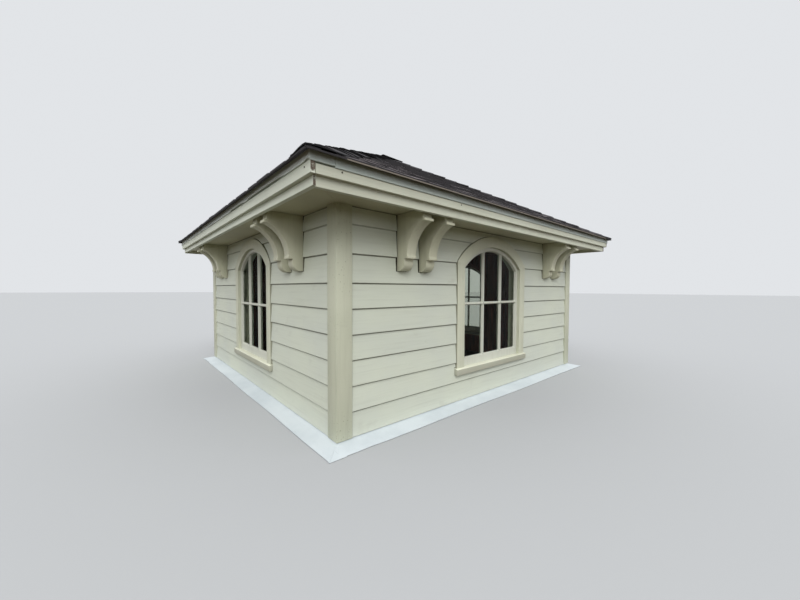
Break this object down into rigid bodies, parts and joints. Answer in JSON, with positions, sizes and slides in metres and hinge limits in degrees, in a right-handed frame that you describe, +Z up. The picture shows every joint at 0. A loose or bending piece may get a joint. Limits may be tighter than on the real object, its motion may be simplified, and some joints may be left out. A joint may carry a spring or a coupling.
{
  "type": "roof cupola",
  "caption": "Square timber roof cupola with painted lap siding, arched windows, paired eave brackets, stepped fascias and a shingled hip roof.",
  "frame": {"origin": "middle of the plan at the base of the walls, level with the flashing's lowest edge", "axes": "+Z up, front face towards -Y, left face towards -X; the picture looks at the corner between them"},
  "size_m": [3.628, 3.628, 2.4217],
  "materials": {
    "framing": "bare sawn timber and boarding",
    "lap_siding": "cream paint, weathered, with faint grain",
    "trim": "cream paint, a little yellower than the siding",
    "brackets": "cream paint",
    "soffit": "cream paint, dusty",
    "eave_trim": "cream paint with nail heads",
    "drip_board": "grey-white paint",
    "sash": "grey-white paint",
    "glass": "clear window glass",
    "dark_boards": "dark red-brown stain",
    "shingles": "mineral-surfaced asphalt, charcoal and brown",
    "hip_caps": "mineral-surfaced asphalt, charcoal",
    "flashing": "white coil-coated sheet"
  },
  "bodies": {
    "root": {"front_wall": "framing", "right_wall": "framing", "back_wall": "framing", "left_wall": "framing", "front_siding": "lap_siding", "right_siding": "lap_siding", "back_siding": "lap_siding", "left_siding": "lap_siding", "front_left_corner_board": "trim", "front_right_corner_board": "trim", "back_right_corner_board": "trim", "back_left_corner_board": "trim", "front_window_frame": "trim", "right_window_frame": "trim", "back_window_frame": "trim", "left_window_frame": "trim", "front_sill": "trim", "right_sill": "trim", "back_sill": "trim", "left_sill": "trim", "front_sash": "sash", "right_sash": "sash", "back_sash": "sash", "left_sash": "sash", "front_glass": "glass", "right_glass": "glass", "back_glass": "glass", "left_glass": "glass", "front_brackets": "brackets", "right_brackets": "brackets", "back_brackets": "brackets", "left_brackets": "brackets", "front_flashing": "flashing", "right_flashing": "flashing", "back_flashing": "flashing", "left_flashing": "flashing", "interior_lining": "dark_boards", "ceiling": "dark_boards", "soffit": "soffit", "lower_fascia": "eave_trim", "upper_fascia": "eave_trim", "drip_board": "drip_board", "roof_deck": "framing", "roof_shingles": "shingles", "hip_caps": "hip_caps"}
  },
  "joints": []
}
